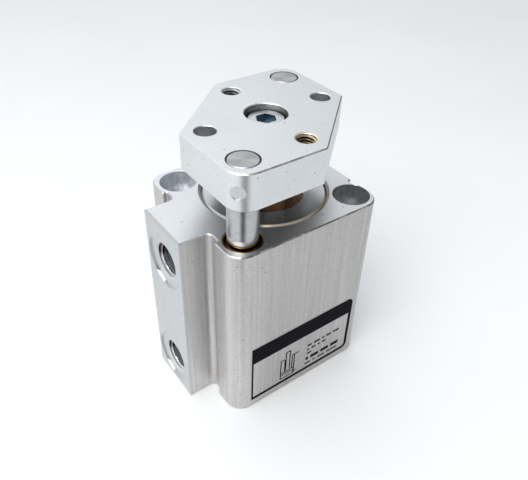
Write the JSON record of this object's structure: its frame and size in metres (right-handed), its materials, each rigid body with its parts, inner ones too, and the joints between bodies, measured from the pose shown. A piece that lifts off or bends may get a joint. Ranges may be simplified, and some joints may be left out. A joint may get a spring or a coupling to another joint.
{
  "type": "pneumatic cylinder",
  "caption": "Compact guided air cylinder: block body with round bore and side ports, guide rods and a cut-corner tool plate that slides up from the body.",
  "frame": {"origin": "piston axis, in the plane of the block's bottom face, midway between the two mounting holes", "axes": "+Z along the piston rod towards the tool plate; the ports are on the -X face and the rating label on the -Y face"},
  "size_m": [0.0557, 0.0451, 0.081],
  "materials": {
    "anodised_body": "clear anodised, fine vertical extrusion lines",
    "anodised_cover": "turned and clear anodised",
    "anodised_plate": "milled and clear anodised, matte",
    "bronze": "plain sintered bronze",
    "chromed_rod": "hard chromed, ground",
    "guide_rod_steel": "ground, with turned ends",
    "zinc_steel": "bright zinc plated",
    "spring_wire": "drawn spring steel wire",
    "piston_metal": "turned",
    "magnet": "plastic-bonded magnet",
    "wear_ring_plastic": "acetal",
    "seal_rubber": "black nitrile rubber",
    "label_foil": "brushed foil with black print"
  },
  "bodies": {
    "housing": {"barrel": "anodised_body", "front_cover": "anodised_cover", "rear_cover": "anodised_cover", "rod_bush": "bronze", "rod_seal": "seal_rubber", "front_retaining_ring": "spring_wire", "rear_retaining_ring": "spring_wire", "front_cover_o_ring": "seal_rubber", "rear_cover_o_ring": "seal_rubber", "front_bumper": "seal_rubber", "rear_bumper": "seal_rubber", "upper_guide_bush_left": "bronze", "lower_guide_bush_left": "bronze", "upper_guide_bush_right": "bronze", "lower_guide_bush_right": "bronze", "rating_label": "label_foil"},
    "slider": {"piston_rear": "piston_metal", "piston_front": "piston_metal", "piston_seal_rear": "seal_rubber", "piston_seal_front": "seal_rubber", "magnet_ring": "magnet", "piston_wear_ring": "wear_ring_plastic", "piston_nut": "zinc_steel", "piston_rod": "chromed_rod", "guide_rod_left": "guide_rod_steel", "guide_rod_right": "guide_rod_steel", "guide_rod_pins": "zinc_steel", "tool_plate": "anodised_plate", "plate_screw": "zinc_steel"}
  },
  "joints": [
    {"name": "rod_slide", "type": "slide", "parent": "housing", "child": "slider", "axis": [0, 0, 1], "range_m": [-0.0075, 0.0175]}
  ]
}
